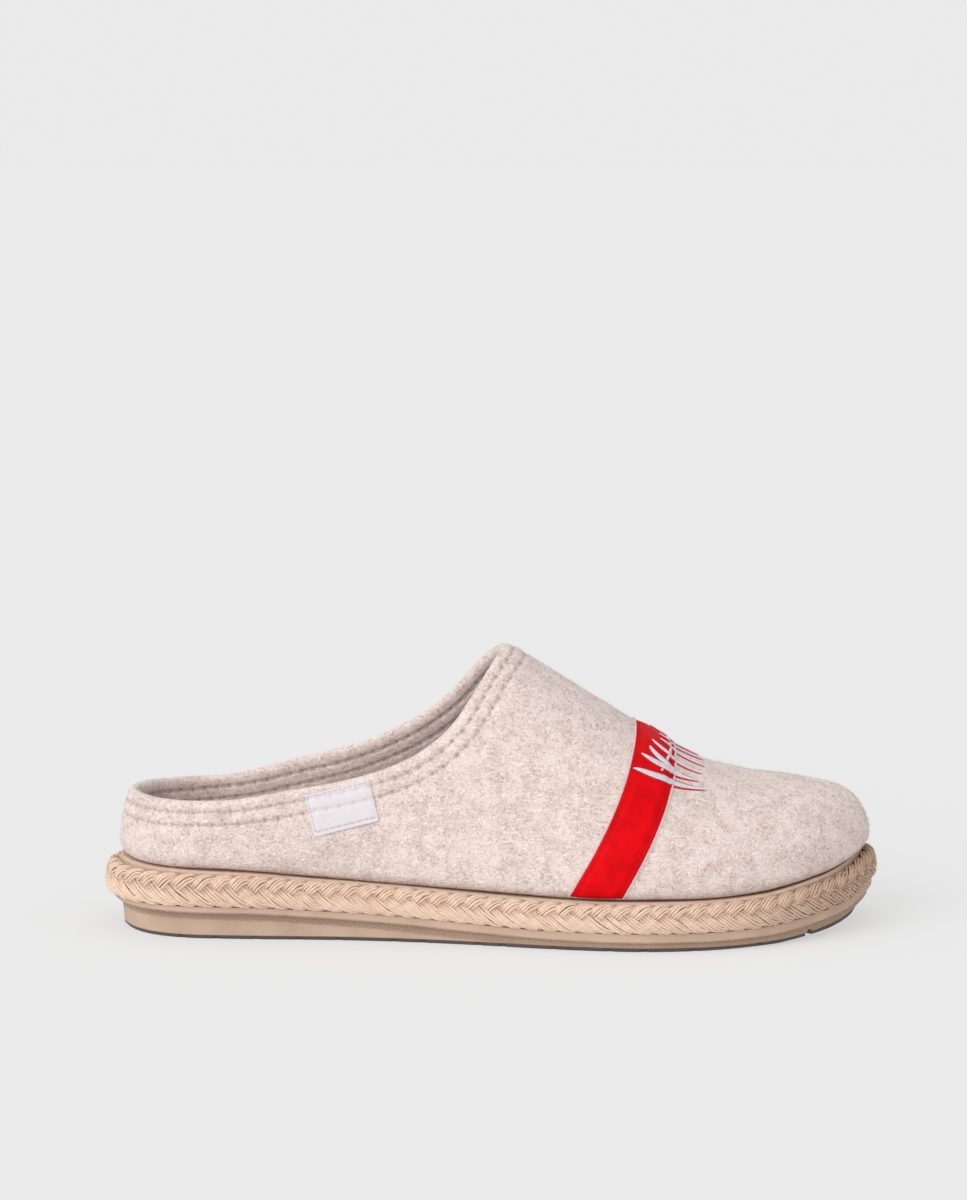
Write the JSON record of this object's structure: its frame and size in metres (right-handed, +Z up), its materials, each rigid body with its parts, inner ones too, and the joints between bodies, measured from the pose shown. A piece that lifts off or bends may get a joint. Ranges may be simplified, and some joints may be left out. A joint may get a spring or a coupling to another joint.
{
  "type": "felt mule slipper",
  "caption": "Closed-toe felt mule slipper for the right foot, with a low heel wall, a satin instep ribbon, a braided jute foxing band and a moulded rubber wedge outsole.",
  "frame": {"origin": "on the floor, under the middle of the slipper's box", "axes": "+X from the heel to the toe, +Z up, -Y to the outer side of the foot"},
  "size_m": [0.2658, 0.0975, 0.0964],
  "materials": {
    "sole_rubber": "matt moulded rubber, fine grained band",
    "sole_core": "smooth foam core edge",
    "jute": "plaited jute yarn",
    "wool_felt": "melange wool felt",
    "red_satin": "satin ribbon with a short pile",
    "white_satin": "white satin, no lettering",
    "footbed_felt": "felt covered footbed"
  },
  "bodies": {
    "root": {"outsole": "sole_rubber", "midsole": "sole_core", "jute_braid": "jute", "upper": "wool_felt", "instep_ribbon": "red_satin", "side_tag": "white_satin", "insole": "footbed_felt"}
  },
  "joints": []
}
